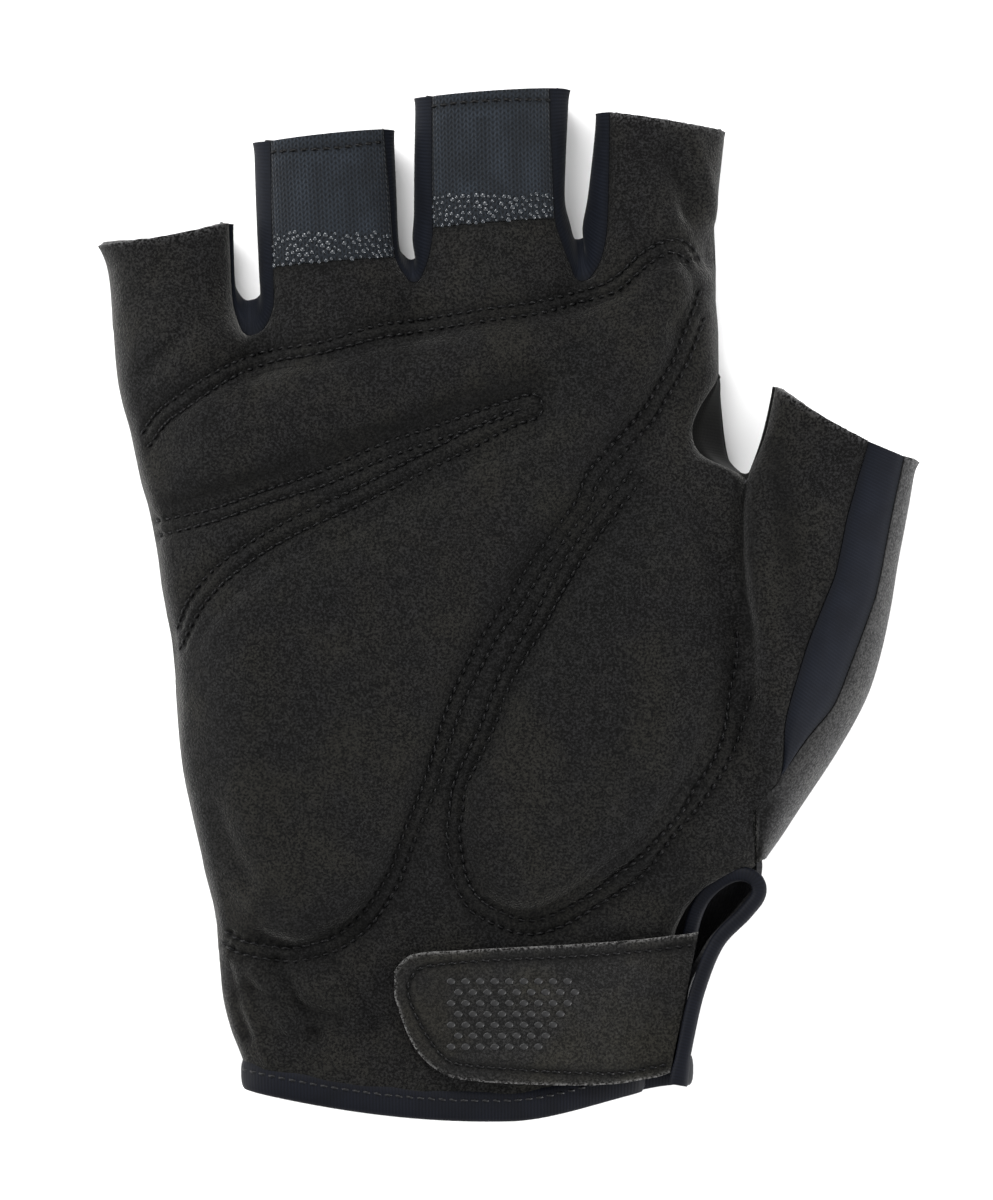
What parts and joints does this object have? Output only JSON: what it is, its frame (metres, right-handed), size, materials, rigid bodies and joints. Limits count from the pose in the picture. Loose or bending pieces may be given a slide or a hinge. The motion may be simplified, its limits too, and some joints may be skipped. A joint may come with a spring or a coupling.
{
  "type": "half-finger cycling glove",
  "caption": "Half-finger cycling glove for the right hand, lying palm up, with padded suede palm, knit finger tops, stretch side walls, wrist slit and strap.",
  "frame": {"origin": "middle of the box that holds the glove, on the surface that it lies on", "axes": "+X towards the thumb, +Y from the wrist to the fingertips, +Z out of the palm, which faces up"},
  "size_m": [0.138, 0.1734, 0.0221],
  "materials": {
    "suede": "matt synthetic suede, very dark olive brown",
    "knit": "fine blue-grey knit with a band of raised grip dots",
    "stretch": "smooth dark blue stretch cloth",
    "back_knit": "plain black stretch knit",
    "tape": "dark blue elastic tape with fine cross ribs"
  },
  "bodies": {
    "root": {"palm_panel": "suede", "palm_pad": "suede", "thumb_base_pad": "suede", "thumb_back": "suede", "strap_tab": "suede", "ring_knit": "knit", "middle_knit": "knit", "fourchette_little_ring": "stretch", "fourchette_ring_middle": "stretch", "fourchette_middle_index": "stretch", "thumb_web": "stretch", "thumb_strip": "stretch", "back_panel": "back_knit", "cuff_binding": "tape", "slit_binding": "tape"}
  },
  "joints": []
}
